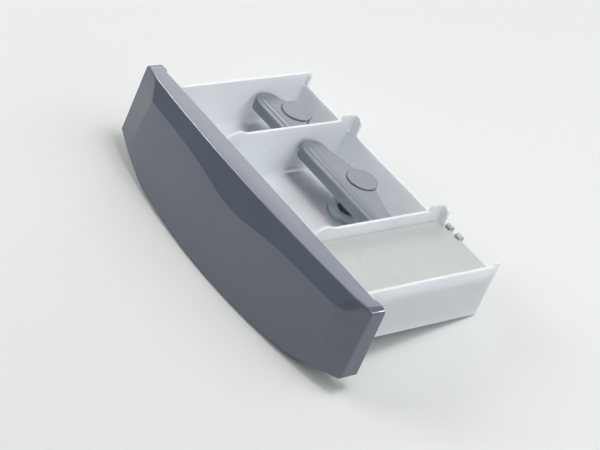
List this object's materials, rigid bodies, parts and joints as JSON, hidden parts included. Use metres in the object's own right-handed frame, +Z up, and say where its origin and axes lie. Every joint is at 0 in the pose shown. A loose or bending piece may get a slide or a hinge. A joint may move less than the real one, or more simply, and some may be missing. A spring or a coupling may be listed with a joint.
{
  "type": "detergent dispenser drawer",
  "caption": "Pull-out detergent drawer of a front loading washing machine: bowed handle, tray with compartments, lift-off siphon caps and a lift-off cover.",
  "frame": {"origin": "middle of the bounding box's bottom face, level with the lowest point of the handle's pull lip", "axes": "+X along the handle, from the left end to the right end as seen from the front; -Y towards the user who pulls the drawer; +Z up, out of the open compartments"},
  "size_m": [0.255, 0.1444, 0.0749],
  "materials": {
    "tray_white": "satin moulded",
    "handle_grey": "glossy moulded",
    "siphon_grey": "satin moulded",
    "collar_sea_grey": "satin moulded",
    "cover_pale": "fine matt texture",
    "screw_steel": "plated"
  },
  "bodies": {
    "drawer": {"tray": "tray_white", "handle_front": "handle_grey", "handle_screws": "screw_steel", "softener_siphon_collar": "collar_sea_grey", "detergent_siphon_collar": "collar_sea_grey"},
    "softener_cap": {"softener_siphon_cap": "siphon_grey", "softener_siphon_plug": "siphon_grey"},
    "detergent_cap": {"detergent_siphon_cap": "siphon_grey", "detergent_siphon_plug": "siphon_grey"},
    "cover": {"compartment_cover": "cover_pale"}
  },
  "joints": [
    {"name": "softener_cap_lift", "type": "slide", "parent": "drawer", "child": "softener_cap", "axis": [0, 0, 1], "range_m": [0, 0.05]},
    {"name": "detergent_cap_lift", "type": "slide", "parent": "drawer", "child": "detergent_cap", "axis": [0, 0, 1], "range_m": [0, 0.05]},
    {"name": "cover_lift", "type": "slide", "parent": "drawer", "child": "cover", "axis": [0, 0, 1], "range_m": [0, 0.05]}
  ]
}
